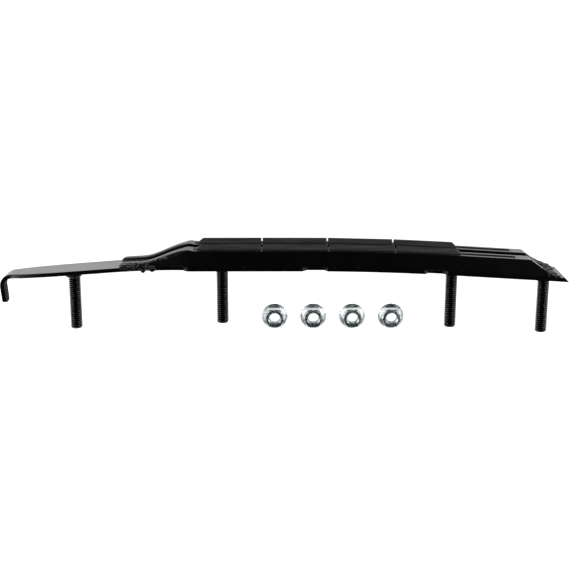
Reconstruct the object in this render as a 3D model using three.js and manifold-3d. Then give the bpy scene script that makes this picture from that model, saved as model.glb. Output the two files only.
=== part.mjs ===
// A dual-bar ski wear bar (carbide runner) with its four flange nuts.
//
// It lies on its side, as it lies on a bench: +X runs from the nose hook to the tail, +Y points
// to the edge that bites the snow, the studs point to -Y, and +Z is up, away from the bench.
// Lengths are in millimetres.

import * as THREE from 'three';
import { mergeVertices } from 'three/addons/utils/BufferGeometryUtils.js';
import Module from 'manifold-3d';

// ---- driving dimensions ----

const PLATE_THICKNESS = 3.175;            // 1/8 in strip steel
const PLATE_HALF_WIDTH = 17.6;            // wide stretches of the base plate
const NOTCH_HALF_WIDTH = 13.5;            // side notches and the front strap
const HOOK_HALF_WIDTH = 5.8;
const MIDDLE_HEIGHT = 17.6;               // height of the centre line above the bench

const HOOK_OUTSIDE_X = -234;
const HOOK_OUTER_RADIUS = 9;
const HOOK_DROP = 22;                     // strap top to hook tip
const HOOK_CURL = 0.09;                   // radians that the hook leans back
const STRAP_BEND_X = -98;                 // where the front strap starts to bend away
const STRAP_BEND_RUN = 50;
const STRAP_SLOPE = 0.0761;
const ROCKER_START_X = 0;                 // where the rocker starts at the back
const ROCKER_RUN = 115;
const ROCKER_SLOPE = 0.06;
const TAIL_X = 202.5;                     // tip of the tail, at the plate's stud side
const TAIL_BEVEL_RUN = 5.2;

const BAR_SIZE = 12.7;                    // 1/2 in square bar
const BAR_SEAT_GAP = 0.2;                 // clearance kept between parts that touch
const BAR_TOE_X = -141;
const BAR_CROWN_X = -88;
const BAR_BEVEL_X = 170;
const BAR_END_X = 184;
const BAR_END_HEIGHT = 5;
const TOE_HEIGHT = 3;
const CROWN_HEIGHT = 13.5;
const TOE_HALF_WIDTH = 4.2;
const TOE_OFFSET = 9.0;                   // bar centre line to middle plane, at the toe

const NOSE_WELD_INSIDE = 14.5;            // bead face to middle plane
const NOSE_WELD_WIDTH = 2.4;
const NOSE_WELD_HEIGHT = 1.6;

const INSERT_COUNT = 4;
const INSERT_PITCH = 50.8;                // 2 in carbide inserts
const INSERT_START_X = -82.8;
const INSERT_JOINT = 1.2;
const INSERT_CREST = 4;
const INSERT_HALF_WIDTH = 2.31;
const INSERT_END_RUN = 4.6;
const GROOVE_HALF_WIDTH = 2.6;
const GROOVE_START_X = -84;
const GROOVE_END_X = 161;

const STUD_RADIUS = 4.7625;               // 3/8 in studs
const STUD_LENGTH = 45.4;                 // from the plate to the point
const STUD_POINT = 1.6;
const SPIGOT_RADIUS = 3.6;
const STUD_X = [-177.5, -62.8, 115.5, 187.4];
const STUD_SEAT_GAP = 0.5;                // a stud's shoulder clears the sloping plate
const STUD_WELD_HEIGHT = 1.8;
const STUD_WELD_REACH = 1.9;

const NUT_X = [-22.1, 8.7, 39.8, 70.8];
const NUT_Y = -48.65;
const NUT_FLANGE_RADIUS = 10.35;
const NUT_FLATS = 14.3;
const NUT_BORE_RADIUS = 4.15;
const NUT_HEIGHT = 8.8;
const NUT_FLANGE_RIM = 1.1;
const NUT_FLANGE_HEIGHT = 3.2;

const ROUND_SEGMENTS = 24;
const PROFILE_STEP = 7;

const wasm = await Module();
wasm.setup();

// ---- the line that the base plate follows ----

// Drop of a line whose slope grows evenly to 1 over `run`, then stays.
function bend(distance, run) {
  if (distance <= 0) return 0;
  if (distance < run) return distance * distance / (2 * run);
  return distance - run / 2;
}

// Height (Y) of the plate's snow-side face.
function plateTop(x) {
  const front = STRAP_SLOPE * bend(STRAP_BEND_X - x, STRAP_BEND_RUN);
  const rear = ROCKER_SLOPE * bend(x - ROCKER_START_X, ROCKER_RUN);
  return -front - rear;
}

function plateAngle(x) {
  const reach = 0.5;
  return Math.atan2(plateTop(x + reach) - plateTop(x - reach), 2 * reach);
}

// Point at `height` above the plate's snow-side face, square to it.
function above(x, height) {
  const angle = plateAngle(x);
  return new THREE.Vector2(x - height * Math.sin(angle), plateTop(x) + height * Math.cos(angle));
}

function stations(from, to, step = PROFILE_STEP) {
  const count = Math.max(1, Math.ceil((to - from) / step));
  return Array.from({ length: count + 1 }, (_, i) => from + (to - from) * i / count);
}

// ---- solids ----

function toSolid(geometry) {
  geometry.deleteAttribute('normal');
  geometry.deleteAttribute('uv');
  const merged = mergeVertices(geometry, 1e-4);
  const vertProperties = new Float32Array(merged.attributes.position.array);
  const triVerts = new Uint32Array(merged.index.array);
  return new wasm.Manifold(new wasm.Mesh({ numProp: 3, vertProperties, triVerts }));
}

function toGeometry(solid) {
  const mesh = solid.getMesh();
  const geometry = new THREE.BufferGeometry();
  geometry.setAttribute('position', new THREE.BufferAttribute(mesh.vertProperties, 3));
  geometry.setIndex(new THREE.BufferAttribute(mesh.triVerts, 1));
  return geometry;
}

// Extrudes a side outline (X, Y) from height `low` to `high`.
function sideSolid(points, low, high) {
  const shape = new THREE.Shape(points);
  const geometry = new THREE.ExtrudeGeometry(shape, { depth: high - low, bevelEnabled: false });
  geometry.translate(0, 0, low);
  return toSolid(geometry);
}

// Extrudes a plan outline (X, height) right through the object along Y.
function planSolid(points) {
  const reach = 80;
  const shape = new THREE.Shape(points.map((point) => new THREE.Vector2(point.x, -point.y)));
  const geometry = new THREE.ExtrudeGeometry(shape, { depth: 2 * reach, bevelEnabled: false });
  geometry.rotateX(-Math.PI / 2);
  geometry.translate(0, -reach, 0);
  return toSolid(geometry);
}

// Turned solid at x on the plate, pointing to the studs' side. All studs are parallel.
function turnedOnPlate(profile, x) {
  const geometry = new THREE.LatheGeometry(profile, ROUND_SEGMENTS);
  geometry.rotateX(Math.PI);
  geometry.translate(x, plateTop(x), MIDDLE_HEIGHT);
  return toSolid(geometry);
}

// ---- base plate with its nose hook ----

function plateSide() {
  const inner = HOOK_OUTER_RADIUS - PLATE_THICKNESS;
  const bendX = HOOK_OUTSIDE_X + HOOK_OUTER_RADIUS;
  const centre = new THREE.Vector2(bendX, plateTop(bendX) - HOOK_OUTER_RADIUS);
  const legEnd = plateTop(bendX) - HOOK_DROP;
  const lean = HOOK_CURL * (centre.y - legEnd);
  const turn = stations(0, Math.PI / 2, Math.PI / 16);
  const around = (radius, angle) => new THREE.Vector2(
    centre.x - radius * Math.sin(angle), centre.y + radius * Math.cos(angle));
  const top = stations(bendX, TAIL_X - TAIL_BEVEL_RUN).map((x) => above(x, 0));
  const under = stations(bendX, TAIL_X).map((x) => above(x, -PLATE_THICKNESS));
  const outside = turn.map((angle) => around(HOOK_OUTER_RADIUS, angle));
  const inside = turn.map((angle) => around(inner, angle));
  const tip = [
    new THREE.Vector2(HOOK_OUTSIDE_X + lean, legEnd),
    new THREE.Vector2(HOOK_OUTSIDE_X + PLATE_THICKNESS + lean, legEnd),
  ];
  return [...top.reverse(), ...outside.slice(1), ...tip, ...inside.reverse(), ...under.slice(1)];
}

function plateHalfPlan() {
  const wide = PLATE_HALF_WIDTH;
  const narrow = NOTCH_HALF_WIDTH;
  return [
    [HOOK_OUTSIDE_X - 1, HOOK_HALF_WIDTH],
    [HOOK_OUTSIDE_X + 6, HOOK_HALF_WIDTH + 0.6],
    [HOOK_OUTSIDE_X + 12, HOOK_HALF_WIDTH + 2],
    [HOOK_OUTSIDE_X + 22, HOOK_HALF_WIDTH + 4.2],
    [HOOK_OUTSIDE_X + 52, narrow - 0.9], [HOOK_OUTSIDE_X + 70, narrow],
    [-92, narrow], [-89, wide], [-2, wide], [2, narrow], [16, narrow], [18.5, wide],
    [92.5, wide], [95.5, narrow], [107, narrow], [109.5, wide], [TAIL_X + 1, wide],
  ];
}

function platePlan() {
  const half = plateHalfPlan();
  const right = half.map(([x, width]) => new THREE.Vector2(x, MIDDLE_HEIGHT + width));
  const left = half.map(([x, width]) => new THREE.Vector2(x, MIDDLE_HEIGHT - width));
  return [...left, ...right.reverse()];
}

function basePlate() {
  let plate = sideSolid(plateSide(), 0, 2 * MIDDLE_HEIGHT).intersect(planSolid(platePlan()));
  const radius = SPIGOT_RADIUS + BAR_SEAT_GAP;
  const hole = [[0, -2], [radius, -2], [radius, 6], [0, 6]];
  for (const x of STUD_X) {
    plate = plate.subtract(turnedOnPlate(hole.map(([r, y]) => new THREE.Vector2(r, y)), x));
  }
  return plate;
}

// ---- host bars ----

// Height of the bar's snow side above the plate: an S-curve from the flat toe to the crown.
function barHeight(x) {
  if (x >= BAR_CROWN_X + 6) return BAR_SIZE;
  if (x >= BAR_CROWN_X) return CROWN_HEIGHT - (CROWN_HEIGHT - BAR_SIZE) * (x - BAR_CROWN_X) / 6;
  const flat = BAR_TOE_X + 20;
  if (x <= flat) return TOE_HEIGHT + (x - BAR_TOE_X) * 0.03;
  const share = (x - flat) / (BAR_CROWN_X - flat);
  return TOE_HEIGHT + 0.6 + (CROWN_HEIGHT - TOE_HEIGHT - 0.6) * share * share * (3 - 2 * share);
}

function barSide() {
  const under = stations(BAR_TOE_X, BAR_END_X).map((x) => above(x, BAR_SEAT_GAP));
  const rise = stations(BAR_TOE_X + 1, BAR_CROWN_X + 6, 3).map((x) => above(x, barHeight(x)));
  const level = stations(BAR_CROWN_X + 6, BAR_BEVEL_X).map((x) => above(x, BAR_SIZE));
  return [...under, above(BAR_END_X, BAR_END_HEIGHT), ...level.reverse(), ...rise.reverse().slice(1)];
}

// Plan of one bar: square stock that slims and toes in towards the nose.
function barPlan(side) {
  const centre = PLATE_HALF_WIDTH - BAR_SIZE / 2;
  const edges = [
    [BAR_TOE_X - 1, TOE_OFFSET, TOE_HALF_WIDTH - 1], [BAR_TOE_X + 4, TOE_OFFSET, TOE_HALF_WIDTH],
    [BAR_TOE_X + 26, TOE_OFFSET + 0.5, TOE_HALF_WIDTH + 0.5],
    [BAR_CROWN_X - 4, centre - 0.6, BAR_SIZE / 2 - 0.6], [BAR_CROWN_X + 4, centre, BAR_SIZE / 2],
    [BAR_END_X + 9, centre, BAR_SIZE / 2],
  ];
  const edge = (sign) => edges.map(([x, offset, half]) => (
    new THREE.Vector2(x, MIDDLE_HEIGHT + side * (offset + sign * half))));
  const outline = [...edge(-side), ...edge(side).reverse()];
  return outline;
}

// V-groove down the middle of a bar's snow side, which the carbide inserts are brazed into.
function groove(side) {
  const middle = MIDDLE_HEIGHT + side * (PLATE_HALF_WIDTH - BAR_SIZE / 2);
  const half = GROOVE_HALF_WIDTH;
  const line = stations(GROOVE_START_X, GROOVE_END_X);
  const positions = [];
  const ring = (x) => [[half + 0.5, 0.5], [-half - 0.5, 0.5], [0, -half]].map(([across, up]) => {
    const point = above(x, BAR_SIZE + up);
    return [point.x, point.y, middle + across];
  });
  const rings = line.map(ring);
  const face = (a, b, c) => positions.push(...a, ...b, ...c);
  for (let i = 0; i + 1 < rings.length; i += 1) {
    for (let j = 0; j < 3; j += 1) {
      const [a, b] = [rings[i][j], rings[i][(j + 1) % 3]];
      const [c, d] = [rings[i + 1][j], rings[i + 1][(j + 1) % 3]];
      face(a, c, b);
      face(b, c, d);
    }
  }
  const last = rings[rings.length - 1];
  face(rings[0][0], rings[0][1], rings[0][2]);
  face(last[0], last[2], last[1]);
  const geometry = new THREE.BufferGeometry();
  geometry.setAttribute('position', new THREE.Float32BufferAttribute(positions, 3));
  return toSolid(geometry);
}

function hostBar(side) {
  const middle = MIDDLE_HEIGHT + side * (PLATE_HALF_WIDTH - BAR_SIZE / 2);
  const blank = sideSolid(barSide(), middle - BAR_SIZE / 2, middle + BAR_SIZE / 2);
  return blank.intersect(planSolid(barPlan(side))).subtract(groove(side));
}

// ---- carbide inserts ----

// A diamond-section stick, its ends bevelled at the two ends of the row.
function carbide(side, index) {
  const half = (INSERT_PITCH - INSERT_JOINT) / 2;
  const low = -INSERT_HALF_WIDTH;
  const section = [[INSERT_HALF_WIDTH, 0], [0, INSERT_CREST], [-INSERT_HALF_WIDTH, 0], [0, low]];
  const shape = new THREE.Shape(section.map(([across, up]) => new THREE.Vector2(-across, up)));
  const stick = new THREE.ExtrudeGeometry(shape, { depth: 2 * half, bevelEnabled: false });
  stick.rotateY(Math.PI / 2);
  stick.translate(-half, 0, 0);
  const first = index === 0 ? INSERT_END_RUN : 0;
  const last = index === INSERT_COUNT - 1 ? INSERT_END_RUN : 0;
  const side2d = [
    [-half, low - 1], [half, low - 1], [half, 0],
    [half - last, INSERT_CREST + 0.1], [-half + first, INSERT_CREST + 0.1], [-half, 0],
  ];
  const outline = side2d.map(([x, y]) => new THREE.Vector2(x, y));
  const solid = toSolid(stick).intersect(sideSolid(outline, -5, 5));
  const geometry = toGeometry(solid);
  const x = INSERT_START_X + INSERT_PITCH * (index + 0.5);
  const seat = above(x, BAR_SIZE + 0.1);
  geometry.rotateZ(plateAngle(x));
  geometry.translate(seat.x, seat.y, MIDDLE_HEIGHT + side * (PLATE_HALF_WIDTH - BAR_SIZE / 2));
  return toSolid(geometry);
}

// ---- studs and their welds ----

// Spigot through the plate, then the shank at the thread's major size, with a pointed end.
function studProfile() {
  const start = PLATE_THICKNESS + STUD_SEAT_GAP;
  const end = PLATE_THICKNESS + STUD_LENGTH;
  const outline = [
    [0, 0.3], [SPIGOT_RADIUS, 0.3], [SPIGOT_RADIUS, start], [STUD_RADIUS, start],
    [STUD_RADIUS, end - STUD_POINT], [STUD_RADIUS - 0.5, end - STUD_POINT / 3],
    [STUD_RADIUS - STUD_POINT, end], [0, end],
  ];
  return outline.map(([r, y]) => new THREE.Vector2(r, y));
}

function studWeldProfile() {
  const inner = STUD_RADIUS + BAR_SEAT_GAP;
  const start = PLATE_THICKNESS + STUD_SEAT_GAP + BAR_SEAT_GAP;
  const outline = [
    [inner, start], [inner + STUD_WELD_REACH, start], [inner + 0.5, start + 1],
    [inner, start + STUD_WELD_HEIGHT], [inner, start],
  ];
  return outline.map(([r, y]) => new THREE.Vector2(r, y));
}

// ---- seam welds ----

// Bead along the outer foot of a bar's toe, where it lies on the strap.
function noseWeld(side) {
  const inner = MIDDLE_HEIGHT + side * NOSE_WELD_INSIDE;
  const outer = MIDDLE_HEIGHT + side * (NOSE_WELD_INSIDE + NOSE_WELD_WIDTH);
  const line = stations(BAR_TOE_X - 2, BAR_TOE_X + 26);
  const under = line.map((x) => above(x, -PLATE_THICKNESS));
  const top = line.map((x) => above(x, NOSE_WELD_HEIGHT));
  return sideSolid([...under, ...top.reverse()], Math.min(inner, outer), Math.max(inner, outer));
}

// Fillet that fills the corner between a bar's bevelled end and the plate.
function tailWeld(side) {
  const middle = MIDDLE_HEIGHT + side * (PLATE_HALF_WIDTH - BAR_SIZE / 2);
  const start = BAR_END_X + 0.3;
  const outline = [
    above(start, BAR_SEAT_GAP), above(TAIL_X - TAIL_BEVEL_RUN, BAR_SEAT_GAP),
    above(start + 3.6, BAR_END_HEIGHT - 1.5), above(start, BAR_END_HEIGHT - 0.2),
  ];
  return sideSolid(outline, middle - BAR_SIZE / 2, middle + BAR_SIZE / 2);
}

// ---- flange nuts ----

function flangeNut(x) {
  const hexCorner = NUT_FLATS / Math.sqrt(3);
  const body = new THREE.LatheGeometry([
    [NUT_BORE_RADIUS, 0], [NUT_FLANGE_RADIUS, 0], [NUT_FLANGE_RADIUS, NUT_FLANGE_RIM],
    [NUT_FLATS / 2 + 0.6, NUT_FLANGE_HEIGHT], [hexCorner, NUT_FLANGE_HEIGHT],
    [hexCorner, NUT_HEIGHT - 0.8], [NUT_FLATS / 2 - 0.2, NUT_HEIGHT],
    [NUT_BORE_RADIUS, NUT_HEIGHT], [NUT_BORE_RADIUS, 0],
  ].map(([r, y]) => new THREE.Vector2(r, y)), ROUND_SEGMENTS);
  body.rotateX(Math.PI / 2);
  const flange = new THREE.CylinderGeometry(
    NUT_FLANGE_RADIUS + 1, NUT_FLANGE_RADIUS + 1, NUT_FLANGE_HEIGHT, ROUND_SEGMENTS);
  flange.rotateX(Math.PI / 2);
  flange.translate(0, 0, NUT_FLANGE_HEIGHT / 2);
  const hex = new THREE.CylinderGeometry(hexCorner, hexCorner, NUT_HEIGHT + 1, 6);
  hex.rotateX(Math.PI / 2);
  hex.rotateZ(Math.PI / 2);
  hex.translate(0, 0, NUT_HEIGHT / 2);
  const geometry = toGeometry(toSolid(body).intersect(toSolid(flange).add(toSolid(hex))));
  geometry.translate(x, NUT_Y, 0);
  return toSolid(geometry);
}

// ---- materials and the assembly ----

function material(color, roughness, metalness) {
  return new THREE.MeshStandardMaterial({ color, roughness, metalness });
}

const blackPaint = () => material('#0b0b0c', 0.3, 0.1);
const carbideGrey = () => material('#26282a', 0.45, 0.8);
const zincPlate = () => material('#c4ccd0', 0.3, 1);

const part = new THREE.Group();

function place(name, solid, finish) {
  const mesh = new THREE.Mesh(toGeometry(solid), finish);
  mesh.name = name;
  part.add(mesh);
}

place('base_plate', basePlate(), blackPaint());
for (const [hand, side] of [['right', 1], ['left', -1]]) {
  place(`host_bar_${hand}`, hostBar(side), blackPaint());
  for (let index = 0; index < INSERT_COUNT; index += 1) {
    place(`carbide_${hand}_${index + 1}`, carbide(side, index), carbideGrey());
  }
  place(`nose_weld_${hand}`, noseWeld(side), blackPaint());
  place(`tail_weld_${hand}`, tailWeld(side), blackPaint());
}
STUD_X.forEach((x, index) => {
  place(`stud_${index + 1}`, turnedOnPlate(studProfile(), x), blackPaint());
  place(`stud_weld_${index + 1}`, turnedOnPlate(studWeldProfile(), x), blackPaint());
});
NUT_X.forEach((x, index) => place(`flange_nut_${index + 1}`, flangeNut(x), zincPlate()));

// The origin is under the middle of the whole, on the bench.
const box = new THREE.Box3().setFromObject(part);
part.position.set(-(box.min.x + box.max.x) / 2, -(box.min.y + box.max.y) / 2, -box.min.z);

export default part;
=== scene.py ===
# A dual-bar ski wear bar with brazed carbide inserts, lying on its side beside its four nuts.
import math

import bpy
import numpy as np
from mathutils import Matrix, Vector, noise


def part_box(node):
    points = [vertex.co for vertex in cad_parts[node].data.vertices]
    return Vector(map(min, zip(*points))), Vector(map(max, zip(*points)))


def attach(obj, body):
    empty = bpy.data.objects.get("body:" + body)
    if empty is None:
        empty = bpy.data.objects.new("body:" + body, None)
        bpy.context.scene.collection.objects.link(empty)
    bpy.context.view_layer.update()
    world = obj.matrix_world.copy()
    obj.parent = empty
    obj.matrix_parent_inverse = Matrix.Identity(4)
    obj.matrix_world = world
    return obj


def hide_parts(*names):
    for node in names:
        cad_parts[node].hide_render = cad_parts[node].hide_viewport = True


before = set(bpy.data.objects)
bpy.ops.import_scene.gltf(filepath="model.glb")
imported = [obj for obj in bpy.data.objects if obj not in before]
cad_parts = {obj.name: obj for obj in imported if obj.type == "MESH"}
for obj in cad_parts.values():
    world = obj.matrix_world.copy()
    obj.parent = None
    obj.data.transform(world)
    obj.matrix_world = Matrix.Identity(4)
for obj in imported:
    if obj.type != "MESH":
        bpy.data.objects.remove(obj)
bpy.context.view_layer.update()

MM = 0.001


# ---- The bench: a white light table with two softboxes, a front card and pale walls. ----
# The paint shows nothing but what it mirrors, so the pale table and walls draw its edges, and
# the dim ceiling keeps the faces that look up at it black.
TABLE_SIZE = 8.0
HOOK_OUTSIDE = -234 * MM
plate_low, plate_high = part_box("base_plate")
DATUM = Vector((plate_low.x - HOOK_OUTSIDE, plate_high.y, (plate_low.z + plate_high.z) / 2))
CAMERA_PLACE = DATUM + Vector((-23.26, 210.67, 849.4)) * MM
CAMERA_TURN = (-0.2635, -0.01035, 0.00169)
CAMERA_LENS = 71.42
SOFTBOX_PLACE = Vector((0.74, 0.06, 0.5))
SOFTBOX_SIZE = (0.45, 0.6)
SOFTBOX_POWER = 3.4
FRONT_CARD_PLACE = Vector((0.0, 0.55, 0.75))
FRONT_CARD_SIZE = (0.9, 0.25)
FRONT_CARD_POWER = 0.2
WALL_LIGHT = 0.9
CEILING_LIGHT = 0.12
WALL_TOP = 0.28            # sine of the elevation where the pale walls end
WALL_FADE = 0.22           # and how much higher the ceiling starts
DARK_WALL = 0.08           # share of the light left on the wall that faces the studs
DARK_WALL_START = -0.97    # the direction's Y where that wall starts to brighten
DARK_WALL_STOP = -0.7

bpy.ops.object.select_all(action="DESELECT")
bpy.ops.object.camera_add(location=CAMERA_PLACE, rotation=CAMERA_TURN)
camera = bpy.context.object
camera.name = "camera"
camera.data.lens = CAMERA_LENS
camera.data.sensor_width = 36
camera.data.clip_start = 0.01
camera.data.clip_end = 50
bpy.context.scene.camera = camera


def softbox(name, place, size, power):
    """A rectangular light that faces the middle of the bench."""
    bpy.ops.object.light_add(type="AREA", location=place)
    light = bpy.context.object
    light.name = name
    light.rotation_euler = (-Vector(place)).to_track_quat("-Z", "Y").to_euler()
    light.data.shape = "RECTANGLE"
    light.data.size, light.data.size_y = size
    light.data.energy = power


for hand, side in (("left", -1), ("right", 1)):
    place = Vector((side * SOFTBOX_PLACE.x, SOFTBOX_PLACE.y, SOFTBOX_PLACE.z))
    softbox(f"softbox_{hand}", place, SOFTBOX_SIZE, SOFTBOX_POWER)
softbox("front_card", FRONT_CARD_PLACE, FRONT_CARD_SIZE, FRONT_CARD_POWER)

world = bpy.data.worlds.new("studio")
bpy.context.scene.world = world
world.use_nodes = True
sky = world.node_tree
direction = sky.nodes.new("ShaderNodeTexCoord")
split = sky.nodes.new("ShaderNodeSeparateXYZ")
height = sky.nodes.new("ShaderNodeMapRange")
height.interpolation_type = "SMOOTHSTEP"
height.inputs["From Min"].default_value = WALL_TOP
height.inputs["From Max"].default_value = WALL_TOP + WALL_FADE
height.inputs["To Min"].default_value = WALL_LIGHT
height.inputs["To Max"].default_value = CEILING_LIGHT
sky.links.new(direction.outputs["Generated"], split.inputs[0])
sky.links.new(split.outputs["Z"], height.inputs["Value"])
stud_side = sky.nodes.new("ShaderNodeMapRange")
stud_side.interpolation_type = "SMOOTHSTEP"
stud_side.inputs["From Min"].default_value = DARK_WALL_START
stud_side.inputs["From Max"].default_value = DARK_WALL_STOP
stud_side.inputs["To Min"].default_value = DARK_WALL
sky.links.new(split.outputs["Y"], stud_side.inputs["Value"])
walls = sky.nodes.new("ShaderNodeMath")
walls.operation = "MULTIPLY"
sky.links.new(height.outputs[0], walls.inputs[0])
sky.links.new(stud_side.outputs[0], walls.inputs[1])
sky.links.new(walls.outputs[0], sky.nodes["Background"].inputs["Strength"])
bpy.context.scene.view_settings.view_transform = "Standard"


class Wire:
    """One output of a node. Sums and products of wires and numbers add Math nodes."""

    def __init__(self, finish, socket):
        self.finish, self.socket = finish, socket

    def math(self, operation, *terms):
        sockets = dict(enumerate(terms))
        return self.finish.node("ShaderNodeMath", {"operation": operation}, sockets)

    def __add__(self, other):
        return self.math("ADD", self, other)

    def __sub__(self, other):
        return self.math("SUBTRACT", self, other)

    def __rsub__(self, other):
        return self.math("SUBTRACT", other, self)

    def __mul__(self, other):
        return self.math("MULTIPLY", self, other)

    __radd__ = __add__
    __rmul__ = __mul__

    def above(self, level, softness):
        """0 below the level and 1 above it, with a soft step between."""
        settings = {"interpolation_type": "SMOOTHSTEP"}
        sockets = {"Value": self, "From Min": level - softness, "From Max": level + softness}
        return self.finish.node("ShaderNodeMapRange", settings, sockets)


class Finish:
    """A material in the making, round its Principled shader."""

    def __init__(self, name, **sockets):
        self.material = bpy.data.materials.new(name)
        self.material.use_nodes = True
        self.tree = self.material.node_tree
        self.shader = self.tree.nodes["Principled BSDF"]
        for name_of_socket, value in sockets.items():
            self.feed(self.shader.inputs[name_of_socket.replace("_", " ")], value)
        self.place = self.node("ShaderNodeTexCoord", output="Object")

    def feed(self, socket, value):
        if isinstance(value, Wire):
            self.tree.links.new(value.socket, socket)
        else:
            socket.default_value = value

    def node(self, kind, settings=None, sockets=None, output=0):
        """Adds a node: first its settings, then the values or wires of its sockets."""
        node = self.tree.nodes.new(kind)
        for key, value in (settings or {}).items():
            setattr(node, key, value)
        for key, value in (sockets or {}).items():
            self.feed(node.inputs[key], value)
        return Wire(self, node.outputs[output])

    def noise(self, scale, detail=3, stretch=(1, 1, 1)):
        """Noise on Object coordinates, with about `scale` lumps to the metre."""
        mapped = self.node("ShaderNodeMapping", None, {"Vector": self.place, "Scale": stretch})
        sockets = {"Vector": mapped, "Scale": scale, "Detail": detail}
        return self.node("ShaderNodeTexNoise", None, sockets)

    def mix(self, share, low, high):
        """A colour between two colours."""
        settings = {"data_type": "RGBA"}
        return self.node("ShaderNodeMix", settings, {0: share, 6: low, 7: high}, output=2)

    def set(self, socket, value):
        self.feed(self.shader.inputs[socket], value)

    def bump(self, height_map, strength, distance):
        sockets = {"Height": height_map, "Strength": strength, "Distance": distance}
        self.set("Normal", self.node("ShaderNodeBump", None, sockets))


bpy.ops.mesh.primitive_plane_add(size=TABLE_SIZE, location=(0, 0, 0))
table = bpy.context.object
table.name = "light_table"
glow = Finish("light_table", Base_Color=(0.8, 0.8, 0.8, 1), Roughness=0.6)
glow.set("Emission Color", (1, 1, 1, 1))
glow.set("Emission Strength", 1.0)
table.data.materials.append(glow.material)


# ---- Base plate: 1/8 in strip steel, cut to its outline and bent over at the nose. ----
# The wide stretches carry the bars, the notches and the slim front strap clear the ski's
# ribs, and the hook goes into the ski. It is painted gloss black together with the bars.
THICKNESS = 3.175 * MM
WIDE = 17.6 * MM
NARROW = 13.5 * MM
HOOK_RADIUS = 10.5 * MM
HOOK_BEND = HOOK_OUTSIDE + HOOK_RADIUS
HOOK_TURN = HOOK_RADIUS * math.pi / 2
HOOK_LEG = 13.2 * MM
HOOK_LEAN = 0.09
STRAP_BEND = -98 * MM
STRAP_RUN = 50 * MM
STRAP_SLOPE = 0.0761
ROCKER_RUN = 115 * MM
ROCKER_SLOPE = 0.06
TAIL = 203.3 * MM
TAIL_BEVEL = 5.2 * MM
PLATE_EDGE = 0.2 * MM
PLATE_STEP = 4 * MM
HOOK_CORNER = 3 * MM


def bend(distance, run):
    """Drop of a line whose slope grows evenly to 1 over the run."""
    if distance <= 0:
        return 0
    return distance * distance / (2 * run) if distance < run else distance - run / 2


def plate_top(x):
    return -STRAP_SLOPE * bend(STRAP_BEND - x, STRAP_RUN) - ROCKER_SLOPE * bend(x, ROCKER_RUN)


def plate_slope(x):
    front = min(max((STRAP_BEND - x) / STRAP_RUN, 0), 1)
    rear = min(max(x / ROCKER_RUN, 0), 1)
    return STRAP_SLOPE * front - ROCKER_SLOPE * rear


def on_plate(x, up, across):
    """Point at a height above the plate's snow side and a distance across its middle."""
    slope = plate_slope(x)
    long = math.hypot(1, slope)
    return DATUM + Vector((x - up * slope / long, plate_top(x) + up / long, across))


def on_hook(x, up, across):
    """As on_plate, but x runs on round the nose bend and down the hook's leg."""
    if x >= HOOK_BEND:
        return on_plate(x, up, across)
    centre = Vector((HOOK_BEND, plate_top(HOOK_BEND) - HOOK_RADIUS))
    run = HOOK_BEND - x
    angle = min(run, HOOK_TURN) / HOOK_RADIUS
    radius = HOOK_RADIUS + up
    point = centre + radius * Vector((-math.sin(angle), math.cos(angle)))
    leg = max(run - HOOK_TURN, 0)
    point += leg * Vector((HOOK_LEAN, -1)).normalized()
    return DATUM + Vector((point.x, point.y, across))


def activate(piece):
    bpy.ops.object.select_all(action="DESELECT")
    piece.select_set(True)
    bpy.context.view_layer.objects.active = piece


def block(name, low, high):
    """A box between two corners, with its place in its mesh."""
    low, high = Vector(low), Vector(high)
    bpy.ops.object.select_all(action="DESELECT")
    bpy.ops.mesh.primitive_cube_add(size=1, location=(low + high) / 2, scale=high - low)
    piece = bpy.context.object
    piece.name = name
    bpy.ops.object.transform_apply(location=True, scale=True)
    return piece


def cut(piece, places, normal, **options):
    """Cuts a piece across at each place."""
    activate(piece)
    facing = Vector(normal).normalized()
    bpy.ops.object.mode_set(mode="EDIT")
    for place in places:
        bpy.ops.mesh.select_all(action="SELECT")
        bpy.ops.mesh.bisect(plane_co=place, plane_no=facing, threshold=1e-6, **options)
    bpy.ops.object.mode_set(mode="OBJECT")


def shape(piece, move):
    """Moves every vertex to move(x, y, z)."""
    for vertex in piece.data.vertices:
        vertex.co = move(*vertex.co)


def soften(piece, width, segments=2, limit=40):
    """Rounds a piece's sharp edges, and keeps the shading of its flat faces flat."""
    activate(piece)
    edge = piece.modifiers.new("edge", "BEVEL")
    edge.width, edge.segments = width, segments
    edge.limit_method, edge.angle_limit = "ANGLE", math.radians(limit)
    edge.use_clamp_overlap = True
    bpy.ops.object.modifier_apply(modifier=edge.name)
    bpy.ops.object.shade_smooth_by_angle(angle=math.radians(32))
    even = piece.modifiers.new("even", "WEIGHTED_NORMAL")
    even.keep_sharp = True
    bpy.ops.object.modifier_apply(modifier=even.name)


def mend(piece):
    """Merges doubled points and turns all faces outwards."""
    activate(piece)
    bpy.ops.object.mode_set(mode="EDIT")
    bpy.ops.mesh.select_all(action="SELECT")
    bpy.ops.mesh.remove_doubles(threshold=1e-6)
    bpy.ops.mesh.normals_make_consistent(inside=False)
    bpy.ops.object.mode_set(mode="OBJECT")


def finish_piece(piece, material, body, slot, *nodes):
    """Paints a piece, fixes it to its body and hides the frame nodes it stands for."""
    piece.data.materials.clear()
    piece.data.materials.append(material)
    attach(piece, body)
    if nodes:
        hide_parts(*nodes)


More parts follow.
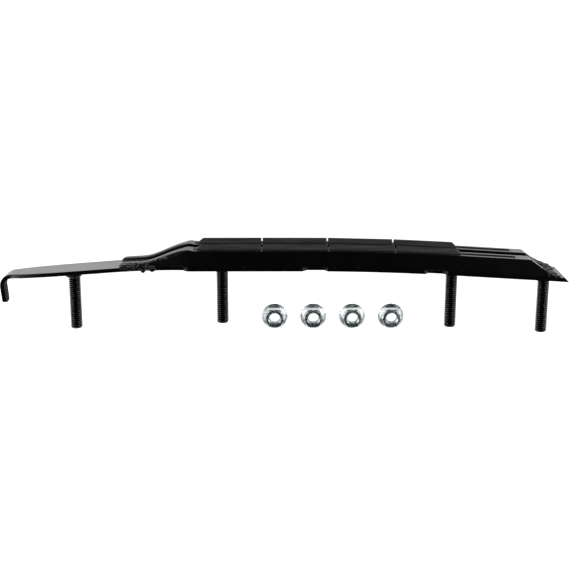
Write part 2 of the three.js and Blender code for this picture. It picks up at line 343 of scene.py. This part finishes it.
def black_paint(name, gloss, roughness):
    """Black over steel: a faint orange peel, and a little dust and handling haze."""
    paint = Finish(name, IOR=1.45, Specular_IOR_Level=gloss)
    haze = paint.noise(90, detail=5)
    tint = paint.mix(haze, (0.0015, 0.0015, 0.0018, 1), (0.004, 0.004, 0.0044, 1))
    paint.set("Base Color", tint)
    paint.set("Roughness", roughness + 0.12 * haze)
    peel = paint.noise(900, detail=2)
    pits = paint.noise(2600, detail=2).above(0.66, 0.05)
    paint.bump(peel - 0.35 * pits, 0.25, 0.00006)
    return paint.material


# The strip is glossy, the bars are rubbed duller, and the hook's inner face is scuffed.
BLACK = black_paint("black_paint", 0.38, 0.14)
RUBBED = black_paint("rubbed_paint", 0.2, 0.26)
SCUFFED = black_paint("scuffed_paint", 0.03, 0.5)
# Half the plate's width along its length, in millimetres, from the hook to past the tail.
EDGE_POINTS = [
    (-262, 5.8), (-238, 5.8), (-231, 7.0), (-225, 8.6), (-218, 10.2), (-206, 12.0),
    (-190, 13.0), (-165, 13.5), (-92, 13.5), (-89, 17.6), (-1, 17.6), (2.5, 13.5),
    (16, 13.5), (18, 17.6), (92.5, 17.6), (95.5, 13.5), (107, 13.5), (109.5, 17.6), (240, 17.6),
]
EDGE_X, EDGE_HALF = np.array(EDGE_POINTS).T * MM


def half_width(x):
    """Half the plate's width: the strap's taper is rounded off, the notches are crisp."""
    reach = 5 * MM if x < -150 * MM else 0.6 * MM
    around = x + reach * np.linspace(-1, 1, 7)
    return float(np.interp(around, EDGE_X, EDGE_HALF).mean())


hook_tip = HOOK_BEND - HOOK_TURN - HOOK_LEG
plate = block("base_plate_steel", (hook_tip, -THICKNESS, -1), (TAIL, 0, 1))
places = list(np.arange(hook_tip + 1 * MM, TAIL, PLATE_STEP))
places += [hook_tip + step * MM for step in (0.25, 0.6, 1.6, 2.4)]
places += [EDGE_X[i] + reach * MM for i in range(9, 18) for reach in (-0.6, 0, 0.6)]
places += [HOOK_BEND - HOOK_TURN * share for share in np.linspace(0, 1, 13)]
cut(plate, [(x, 0, 0) for x in places], (1, 0, 0))


def plate_outline(x, y, z):
    half = half_width(x)
    from_tip = x - hook_tip
    if from_tip < HOOK_CORNER:
        half -= HOOK_CORNER - math.sqrt(max(HOOK_CORNER**2 - (HOOK_CORNER - from_tip) ** 2, 0))
    if x > TAIL - 1e-6 and y > -1e-6:
        x -= TAIL_BEVEL
    return Vector((x, y, math.copysign(half, z)))


shape(plate, plate_outline)
mend(plate)
soften(plate, PLATE_EDGE, segments=3, limit=50)
shape(plate, on_hook)
finish_piece(plate, BLACK, "runner", "black_paint", "base_plate")
plate.data.materials.append(SCUFFED)
for face in plate.data.polygons:
    in_hook = face.center.x < DATUM.x + HOOK_BEND and face.normal.x > 0.2
    face.material_index = int(in_hook)


# ---- Host bars: 1/2 in square steel, one on each side of the plate. ----
# The nose of each is forged down to a round rod that toes in to the strap's edge, the tail is
# sawn off at a slant, and a V-groove in the snow side takes the carbide inserts.
BAR = 12.7 * MM
BAR_TOE = -141 * MM
BAR_CROWN = -88 * MM
BAR_BEVEL = 170 * MM
BAR_END = 184 * MM
BAR_END_UP = 5 * MM
BAR_LINE = WIDE - BAR / 2
BAR_LIFT = 0.05 * MM
CROWN_UP = 13.5 * MM
TOE_UP = 3 * MM
TOE_LINE = 9 * MM
ROUND = 1 * MM
BAR_FOOT = 0.06 * MM
NOSE_EDGE = 2.9 * MM
TOE_BLUNT = 4 * MM
GROOVE_HALF = 2.6 * MM
GROOVE_START = -84 * MM
GROOVE_END = 161 * MM
GROOVE_LIP = 0.02 * MM


def ease(low, high, x):
    """0 at low and 1 at high, with a soft start and end."""
    share = min(max((x - low) / (high - low), 0), 1)
    return share * share * (3 - 2 * share)


def bar_up(x):
    """Height of a bar's snow side above the plate."""
    if x > BAR_CROWN:
        return CROWN_UP - (CROWN_UP - BAR) * ease(BAR_CROWN, BAR_CROWN + 5 * MM, x)
    return TOE_UP + (CROWN_UP - TOE_UP) * ease(BAR_TOE + 16 * MM, BAR_CROWN + 2 * MM, x)


def bar_half(x):
    slim = 4.3 * MM + 0.6 * MM * ease(BAR_TOE, BAR_TOE + 26 * MM, x)
    return slim + (BAR / 2 - slim) * ease(BAR_TOE + 24 * MM, BAR_CROWN + 4 * MM, x)


def bar_line(x):
    return TOE_LINE + (BAR_LINE - TOE_LINE) * ease(BAR_TOE + 10 * MM, BAR_CROWN + 4 * MM, x)


def bar_shape(x, y, z):
    """Forges the nose of a straight bar and presses its groove in."""
    up, half = bar_up(x), bar_half(x)
    nose = 1 - ease(BAR_CROWN - 8 * MM, BAR_CROWN + 3 * MM, x)
    foot = BAR_FOOT
    edge = foot + nose * (min(NOSE_EDGE, 0.8 * (up - foot)) - foot)
    blunt = min((x - BAR_TOE) / TOE_BLUNT, 1)
    closing = math.sqrt(max(1 - (1 - blunt) ** 2, 0)) * 0.8 + 0.2
    side_edge = edge if y > BAR / 2 else foot
    reach = abs(z)
    if reach > BAR / 2 - ROUND:
        across = half - (BAR / 2 - reach) * side_edge / ROUND
    else:
        across = reach * (half - side_edge) / (BAR / 2 - ROUND)
    if y > BAR - ROUND - 1e-7:
        rise = up - (BAR - y) * edge / ROUND
        if reach < 1e-6 and GROOVE_START < x < GROOVE_END and y > BAR - 1e-6:
            rise -= GROOVE_HALF
    elif y < ROUND + 1e-7:
        rise = y * foot / ROUND
    else:
        rise = foot + (y - ROUND) / (BAR - 2 * ROUND) * (up - edge - foot)
    return Vector((x, rise * closing + BAR_LIFT, math.copysign(across * closing, z)))


def select_edges(piece, test):
    """Goes into edit mode with only the edges selected whose two ends pass the test."""
    activate(piece)
    bpy.ops.object.mode_set(mode="EDIT")
    bpy.ops.mesh.select_mode(type="EDGE")
    bpy.ops.mesh.select_all(action="DESELECT")
    bpy.ops.object.mode_set(mode="OBJECT")
    points = piece.data.vertices
    for edge in piece.data.edges:
        edge.select = test(*(points[i].co for i in edge.vertices))
    bpy.ops.object.mode_set(mode="EDIT")


def straight_bar():
    bar = block("host_bar", (BAR_TOE, 0, -BAR / 2), (BAR_END, BAR, BAR / 2))
    select_edges(bar, lambda a, b: abs(a.x - b.x) > BAR)
    bpy.ops.mesh.bevel(offset=ROUND, segments=6, affect="EDGES")
    bpy.ops.object.mode_set(mode="OBJECT")
    cut(bar, [(0, 0, z) for z in (-GROOVE_HALF, 0, GROOVE_HALF)], (0, 0, 1))
    nose = list(np.arange(BAR_TOE + 5 * MM, BAR_CROWN + 10 * MM, 2 * MM))
    toe = [BAR_TOE + step * MM for step in (0.15, 0.6, 1.3, 2.2, 3.4)]
    ends = [GROOVE_START - GROOVE_LIP, GROOVE_START + GROOVE_LIP]
    ends += [GROOVE_END - GROOVE_LIP, GROOVE_END + GROOVE_LIP]
    level = list(np.arange(BAR_CROWN + 16 * MM, BAR_BEVEL - 4 * MM, 8 * MM))
    cut(bar, [(x, 0, 0) for x in nose + toe + ends + level], (1, 0, 0))
    slant = Vector((BAR - BAR_END_UP, BAR_END - BAR_BEVEL, 0))
    cut(bar, [(BAR_BEVEL, BAR, 0)], slant, clear_outer=True, use_fill=True)
    shape(bar, bar_shape)
    mend(bar)
    soften(bar, 0.22 * MM, segments=2, limit=38)
    return bar


def copy_of(piece, name):
    """A copy of a piece with a mesh of its own."""
    twin = piece.copy()
    twin.data = piece.data.copy()
    twin.name = name
    bpy.context.collection.objects.link(twin)
    return twin


bar_right = straight_bar()
bar_right.name = "host_bar_right_steel"
bar_left = copy_of(bar_right, "host_bar_left_steel")
shape(bar_right, lambda x, y, z: on_plate(x, y, bar_line(x) + z))
shape(bar_left, lambda x, y, z: on_plate(x, y, -bar_line(x) + z))
finish_piece(bar_right, RUBBED, "runner", "black_paint", "host_bar_right")
finish_piece(bar_left, RUBBED, "runner", "black_paint", "host_bar_left")


# ---- Carbide inserts: four 2 in sticks of sintered carbide in each bar. ----
# Each is a diamond in section, brazed into the groove with one sharp edge out. The outer ends
# of a row are ground off at a slant, and a painted seam of braze fills the groove round them.
INSERT_PITCH = 50.8 * MM
INSERT_START = -82.8 * MM
INSERT_GAP = 1.1 * MM
INSERT_CREST = 4 * MM
INSERT_HALF = 2.31 * MM
INSERT_SLANT = 4.6 * MM
INSERT_COUNT = 4
BRAZE_HALF = 2.7 * MM
BRAZE_END = 0.8 * MM


def carbide_finish():
    """Dark ground carbide under thin paint: streaks along its length, and tiny pores."""
    finish = Finish("carbide", Metallic=0.85)
    streaks = finish.noise(700, detail=4, stretch=(0.05, 1, 1))
    pores = finish.noise(2200, detail=3).above(0.64, 0.05)
    tint = finish.mix(streaks, (0.06, 0.06, 0.064, 1), (0.24, 0.24, 0.25, 1))
    finish.set("Base Color", tint)
    finish.set("Roughness", 0.3 + 0.3 * streaks)
    finish.bump(streaks - 0.5 * pores, 0.35, 0.00008)
    return finish.material


def insert(name, start, slant_first, slant_last):
    """One stick, with its ends slanted where it ends the row."""
    low, high = start + INSERT_GAP / 2, start + INSERT_PITCH - INSERT_GAP / 2
    stick = block(name, (low, -INSERT_HALF, -INSERT_HALF), (high, INSERT_CREST, INSERT_HALF))
    cut(stick, [(0, 0, 0)], (0, 0, 1))
    cut(stick, [(0, 0, 0)], (0, 1, 0))
    shape(stick, lambda x, y, z: Vector((x, y, z if abs(y) < 1e-7 else 0)))
    mend(stick)
    if slant_first:
        slant = (-INSERT_CREST, INSERT_SLANT, 0)
        cut(stick, [(low, 0, 0)], slant, clear_outer=True, use_fill=True)
    if slant_last:
        slant = (INSERT_CREST, INSERT_SLANT, 0)
        cut(stick, [(high, 0, 0)], slant, clear_outer=True, use_fill=True)
    soften(stick, 0.12 * MM, segments=2, limit=30)
    return stick


CARBIDE = carbide_finish()
for hand, side in (("right", 1), ("left", -1)):
    for i in range(INSERT_COUNT):
        node = f"carbide_{hand}_{i + 1}"
        start = INSERT_START + INSERT_PITCH * i
        stick = insert(f"{node}_stick", start, i == 0, i == INSERT_COUNT - 1)
        line = side * BAR_LINE
        shape(stick, lambda x, y, z: on_plate(x, BAR + 0.1 * MM + y, line + z))
        finish_piece(stick, CARBIDE, "runner", "carbide", node)
    first = INSERT_START - BRAZE_END
    last = INSERT_START + INSERT_PITCH * INSERT_COUNT + BRAZE_END
    seam = block(f"braze_{hand}", (first, -2 * MM, -BRAZE_HALF), (last, 1 * MM, BRAZE_HALF))
    cut(seam, [(x, 0, 0) for x in np.arange(first + 6 * MM, last, 8 * MM)], (1, 0, 0))
    cut(seam, [(0, 0, 0)], (0, 0, 1))
    shape(seam, lambda x, y, z: Vector((x, y if abs(z) < 1e-6 else max(y, 0) * 0.1, z)))
    mend(seam)
    shape(seam, lambda x, y, z: on_plate(x, BAR + 0.05 * MM + y, line + z))
    finish_piece(seam, RUBBED, "runner", "black_paint")


# ---- Studs: 3/8 in coarse-thread studs through the plate, welded round their roots. ----
# Each goes up through the ski's sole and saddle and takes one of the nuts. All four are
# parallel, so that they slip into the ski's holes together.
STUD_PLACES = [-177.5 * MM, -62.8 * MM, 115.5 * MM, 187.4 * MM]
STUD_RADIUS = 4.7625 * MM
STUD_LENGTH = 45.4 * MM
THREAD_PITCH = 1.5875 * MM
THREAD_DEPTH = 0.86 * MM
STUD_DOME = 1.7 * MM
STUD_RINGS = 440
STUD_AROUND = 40


def wrapped(name, rings, around, place):
    """A tube from a grid: place(share along, angle round) gives each point, and seams close."""
    bpy.ops.object.select_all(action="DESELECT")
    bpy.ops.mesh.primitive_grid_add(x_subdivisions=rings, y_subdivisions=around, size=1)
    piece = bpy.context.object
    piece.name = name
    shape(piece, lambda x, y, z: place(x + 0.5, (y + 0.5) * math.tau))
    mend(piece)
    bpy.ops.object.shade_smooth()
    return piece


def thread_depth(along, angle):
    """0 on the crest and 1 in the root of a single-start thread."""
    turn = (along / THREAD_PITCH - angle / math.tau) % 1
    flank = abs(2 * turn - 1)
    return min(max((flank - 0.125) / 0.625, 0), 1)


def stud_point(share, angle):
    """Surface of a stud that stands on the plate's other side, its axis along -Y."""
    along = share * STUD_LENGTH
    runout = ease(0.8 * MM, 2.6 * MM, along) * (1 - ease(STUD_LENGTH - 2 * MM, STUD_LENGTH, along))
    radius = STUD_RADIUS - THREAD_DEPTH * thread_depth(along, angle) * runout
    to_end = STUD_LENGTH - along
    if to_end < STUD_DOME:
        radius -= STUD_DOME - math.sqrt(max(STUD_DOME**2 - (STUD_DOME - to_end) ** 2, 0))
    if share < 1e-6 or share > 1 - 1e-6:
        radius = 0
    return Vector((radius * math.cos(angle), -along, radius * math.sin(angle)))


def stand(index):
    """Matrix that stands a piece, made round the Y axis, on the plate's stud side."""
    return Matrix.Translation(on_plate(STUD_PLACES[index], -THICKNESS, 0))


def stud_finish():
    """Black oxide on rolled thread, with painted light: the crests' colour is lightened as a painted
    highlight, and the roots' kept dark as painted shade.
    """
    finish = Finish("stud_black", Metallic=1.0)
    crest = finish.node("ShaderNodeAttribute", {"attribute_name": "crest"}, output=2)
    highlight_breakup = finish.noise(600, detail=4)
    # Painted highlight on the crests and painted shade in the roots, broken up by noise; it also lowers
    # the roughness on the crests.
    crest_light_root_shade = crest.above(0.75, 0.2) * (0.5 + highlight_breakup)
    finish.set("Base Color", finish.mix(crest_light_root_shade, (0.008, 0.008, 0.009, 1), (0.18, 0.18, 0.18, 1)))
    finish.set("Roughness", 0.3 - 0.1 * crest_light_root_shade)
    return finish.material


OXIDE = stud_finish()
stud = wrapped("stud", STUD_RINGS, STUD_AROUND, stud_point)
# Crest height at each point: the stud finish paints highlights on the crests and shade in the roots from
# it.
crest = stud.data.attributes.new("crest", "FLOAT", "POINT")
for vertex in stud.data.vertices:
    depth = STUD_RADIUS - math.hypot(vertex.co.x, vertex.co.z)
    crest.data[vertex.index].value = 1 - min(depth / THREAD_DEPTH, 1)
for i in range(len(STUD_PLACES)):
    one = copy_of(stud, f"stud_{i + 1}_thread")
    one.data.transform(stand(i))
    finish_piece(one, OXIDE, "runner", "black_paint", f"stud_{i + 1}")
bpy.data.objects.remove(stud)


# ---- Welds: hand-laid beads, painted over. ----
# They run along the bars' toes on the strap, over the corner behind each bar's slanted end and
# round each stud's root. Their ripples, lumps and spatter show through the paint.
# Threshold of the noise that places the painted glint specks in the weld paint.
GLINT_SPECK_LEVEL = 0.72
STUD_WELDS = [(2.1, 2.9), (1.2, 0.8), (1.6, 1.2), (1.3, 0.9)]     # width and depth, millimetres
DRIPS = [(-122.5, 4.8, 1.6), (-115.5, 4.2, 3.0)]                 # place, fall and depth, the same
BEAD_STEP = 0.25 * MM
BEAD_AROUND = 16


def weld_paint():
    """The same black over rough metal, with painted glints: small specks where the colour is lightened
    and the roughness lowered, as if spatter caught the light.
    """
    paint = Finish("weld_paint", IOR=1.5)
    grit = paint.noise(1500, detail=4)
    # Painted glints: bright specks lightened in the colour.
    specks = paint.noise(800, detail=2).above(GLINT_SPECK_LEVEL, 0.03)
    tint = paint.mix(specks, (0.004, 0.004, 0.0045, 1), (0.3, 0.29, 0.28, 1))
    paint.set("Base Color", tint)
    paint.set("Roughness", 0.3 - 0.12 * specks)
    paint.bump(grit + 0.5 * specks, 0.3, 0.0001)
    return paint.material


WELD = weld_paint()


def lump(point, seed, size):
    """Smooth noise from -1 to 1 that differs from bead to bead."""
    return noise.noise(Vector(point) / size + Vector((seed * 7.3, seed * 3.1, seed * 1.7)))


def bead(name, route, width, depth, seed, ripple=1.8 * MM, rough=0.35):
    """A bead along a smooth route of points: overlapping ripples, each a little different."""
    points = np.array([list(point) for point in route])
    steps = np.linalg.norm(np.diff(points, axis=0), axis=1)
    reach = np.concatenate([[0], np.cumsum(steps)])
    length = reach[-1]

    def middle(along):
        return Vector([float(np.interp(along, reach, points[:, k])) for k in range(3)])

    def place(share, angle):
        along = share * length
        ahead = middle(min(along + 0.5 * MM, length)) - middle(max(along - 0.5 * MM, 0))
        ahead.normalize()
        out = ahead.cross(Vector((0, 1, 0))).normalized()
        up = out.cross(ahead)
        phase = (along / ripple + 0.15 * lump((along, 0, 0), seed, 2 * MM)) % 1
        scale = 1 + 0.14 * math.sin(math.pi * phase)
        scale += rough * lump((along, math.cos(angle) * MM, math.sin(angle) * MM), seed, 1.5 * MM)
        taper = min(share, 1 - share) * length / (1.2 * depth)
        scale *= math.sqrt(max(1 - (1 - min(taper, 1)) ** 2, 0))
        radial = out * (width * math.cos(angle)) + up * (depth * math.sin(angle))
        return middle(along) + radial * scale

    rings = max(int(length / BEAD_STEP), 12)
    return wrapped(name, rings, BEAD_AROUND, place)


def join(pieces, name):
    activate(pieces[0])
    for piece in pieces:
        piece.select_set(True)
    bpy.ops.object.join()
    pieces[0].name = name
    return pieces[0]


def spatter(name, points, seed):
    """Small frozen drops of weld metal."""
    drops = []
    for i, point in enumerate(points):
        size = (0.35 + 0.35 * abs(lump((i, 0, 0), seed, 0.37))) * MM
        bpy.ops.mesh.primitive_ico_sphere_add(subdivisions=2, radius=size, location=point)
        drops.append(bpy.context.object)
        bpy.ops.object.transform_apply(location=True)
        bpy.ops.object.shade_smooth()
    return join(drops, name)


def bar_face(x, up, side, out=0):
    """Point on a bar's outer face, `out` proud of it."""
    return on_plate(x * MM, up * MM, side * (bar_line(x * MM) + bar_half(x * MM) + out * MM))


for hand, side in (("right", 1), ("left", -1)):
    seed = 2 + side
    size = (1.25 + 0.25 * side) * MM
    foot = [bar_face(x, 0.2 + 0.5 * math.sin(x), side, -0.4) for x in range(-141, -112, 2)]
    climb = [bar_face(-126 + 1.9 * i, 0.2 + 0.6 * i, side, -0.45) for i in range(13)]
    inner = [
        on_plate(x * MM, 0.4 * MM, side * (bar_line(x * MM) - bar_half(x * MM) + 0.3 * MM))
        for x in range(-140, -104, 3)
    ]
    nose = [
        bead(f"nose_{hand}_foot", foot, size, 1.4 * size, seed, ripple=2.2 * MM, rough=0.6),
        bead(f"nose_{hand}_inner", inner, 1.0 * MM, 1.1 * MM, seed + 8),
    ]
    if side > 0:
        nose.append(bead(f"nose_{hand}_climb", climb, 0.8 * MM, 1.2 * MM, seed + 4, rough=0.9))
    for i, (x, fall, deep) in enumerate(DRIPS):
        run = np.linspace(0, fall, 5)
        drip = [on_plate(x * MM, -k * MM, side * (NARROW + 0.2 * MM)) for k in run]
        nose.append(bead(f"nose_{hand}_drip", drip, 1.0 * MM, deep * MM, seed + 24 + i, rough=0.4))
    nose = join(nose, f"nose_weld_{hand}_bead")
    finish_piece(nose, WELD, "runner", "weld_paint", f"nose_weld_{hand}")

    line = side * BAR_LINE
    across = [on_plate(BAR_END + 2.2 * MM, 1.4 * MM, line + z * MM) for z in range(-6, 7, 2)]
    ridge = [on_plate(BAR_END + 6.5 * MM, 0.9 * MM, line + z * MM) for z in range(-6, 7, 2)]
    toe = [on_plate(BAR_END + 10.2 * MM, 0.3 * MM, line + z * MM) for z in range(-6, 7, 2)]
    edge = [
        on_plate((179 + 1.3 * i) * MM, (7.2 - 0.66 * i) * MM, side * (WIDE - 0.75 * MM))
        for i in range(12)
    ]
    tail = [
        bead(f"tail_{hand}_fill", across, 3.2 * MM, 3.4 * MM, seed + 12, rough=0.2),
        bead(f"tail_{hand}_ridge", ridge, 3.4 * MM, 2.2 * MM, seed + 14, rough=0.3),
        bead(f"tail_{hand}_toe", toe, 2.2 * MM, 1.3 * MM, seed + 16, rough=0.3),
        bead(f"tail_{hand}_edge", edge, 1.0 * MM, 0.8 * MM, seed + 20, rough=0.5),
    ]
    tail = join(tail, f"tail_weld_{hand}_bead")
    finish_piece(tail, WELD, "runner", "weld_paint", f"tail_weld_{hand}")

for i in range(len(STUD_PLACES)):
    reach = STUD_RADIUS + 0.5 * MM
    turns = np.linspace(0, math.tau, 49)
    width, depth = (measure * MM for measure in STUD_WELDS[i])
    up = -max(0.35 * MM, depth - 2.1 * MM)
    ring = [Vector((reach * math.cos(a), up, reach * math.sin(a))) for a in turns]
    weld = bead(f"stud_weld_{i + 1}_bead", ring, width, depth, 30 + i, rough=0.3)
    weld.data.transform(stand(i))
    finish_piece(weld, WELD, "runner", "weld_paint", f"stud_weld_{i + 1}")

# Drops of spatter on the near bar's outer face: place along it and height, in millimetres.
DROPS = [
    (-127, 3), (-124, 4.6), (-119, 5.2), (-117, 3.4), (-113, 4.8), (-108, 2.6), (-100.5, 1.4),
    (-99, 0.8), (-93, 1.6), (-91.5, 0.8), (-60, 1.2), (-45, 0.8), (24, 0.6), (42, 0.5),
    (67, 0.7), (97, 0.4), (98.5, 1.1), (103, 0.6), (105, 1.2), (121, 0.8), (186, 4.4), (189, 3.2),
]
drops = [bar_face(x, up, 1) for x, up in DROPS]
specks = spatter("weld_spatter", drops, 50)
finish_piece(specks, WELD, "runner", "weld_paint")


# ---- Flange nuts: 3/8 in hex flange nuts, cold formed and plated with bright zinc. ----
# The flange is a cone with a thin rim, its flat side down on the bench, the hex has chamfered
# corners, and the bore carries the thread.
NUT_FLATS = 14.3 * MM
NUT_FLANGE = 10.35 * MM
NUT_UP = 8.8 * MM
NUT_BORE = 4.15 * MM
NUT_AROUND = 96
NUT_COUNT = 4
NUT_COUNTERSINK = 0.9 * MM
THREAD_RINGS = 40


def zinc_finish():
    """Bright zinc plate: nearly a mirror, with the fine ripple of cold-formed steel."""
    finish = Finish("zinc_plate", Metallic=1.0)
    cloud = finish.noise(700, detail=5).above(0.5, 0.2)
    finish.set("Base Color", finish.mix(cloud, (0.36, 0.43, 0.46, 1), (0.9, 0.93, 0.92, 1)))
    finish.set("Roughness", 0.24 + 0.2 * cloud)
    ripple = finish.noise(900, detail=3)
    finish.bump(ripple, 0.6, 0.0004)
    return finish.material


def hex_radius(angle):
    """Distance from the middle to the hex's side, with a flat facing +Y."""
    turn = (angle + math.tau / 12 + math.tau / 4) % (math.tau / 6) - math.tau / 12
    return NUT_FLATS / 2 / math.cos(turn)


def nut_profile(angle):
    """The nut's section at one angle, from its bore's foot outwards and back: (radius, up)."""
    hexagon = hex_radius(angle)
    corner = NUT_FLATS / 2 + 0.1 * MM
    shoulder = NUT_UP - max(hexagon - corner, 0) * 0.62 - 0.35 * MM
    rows = [
        (NUT_BORE + NUT_COUNTERSINK, 0), (NUT_FLANGE - 0.5 * MM, 0), (NUT_FLANGE - 0.12 * MM, 0.15 * MM),
        (NUT_FLANGE, 0.5 * MM), (NUT_FLANGE - 0.1 * MM, 0.95 * MM),
        (NUT_FLANGE - 0.55 * MM, 1.3 * MM), (hexagon + 0.9 * MM, 2.7 * MM),
        (hexagon + 0.3 * MM, 3.05 * MM), (hexagon, 3.6 * MM), (hexagon, shoulder),
        (min(hexagon, corner) - 0.15 * MM, NUT_UP - 0.12 * MM),
        (min(hexagon, corner) - 0.5 * MM, NUT_UP), (NUT_BORE + 1.1 * MM, NUT_UP),
        (NUT_BORE + 0.1 * MM, NUT_UP - NUT_COUNTERSINK),
    ]
    for i in range(1, THREAD_RINGS):
        up = (NUT_UP - NUT_COUNTERSINK) * (1 - i / THREAD_RINGS)
        flare = NUT_COUNTERSINK * (1 - ease(0, 1 * MM, up))
        rows.append((NUT_BORE + 0.4 * MM * thread_depth(up, angle) + flare, up))
    rows.append(rows[0])
    return rows


def nut_point(share, angle):
    rows = nut_profile(angle)
    row = rows[min(int(round(share * (len(rows) - 1))), len(rows) - 1)]
    return Vector((row[0] * math.cos(angle), row[0] * math.sin(angle), row[1]))


ZINC = zinc_finish()
nut = wrapped("nut", len(nut_profile(0)) - 1, NUT_AROUND, nut_point)
activate(nut)
bpy.ops.object.shade_smooth_by_angle(angle=math.radians(30))
for i in range(NUT_COUNT):
    low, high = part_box(f"flange_nut_{i + 1}")
    one = copy_of(nut, f"flange_nut_{i + 1}_zinc")
    one.data.transform(Matrix.Translation(((low.x + high.x) / 2, (low.y + high.y) / 2, low.z)))
    finish_piece(one, ZINC, f"nut_{i + 1}", "zinc_plate", f"flange_nut_{i + 1}")
bpy.data.objects.remove(nut)
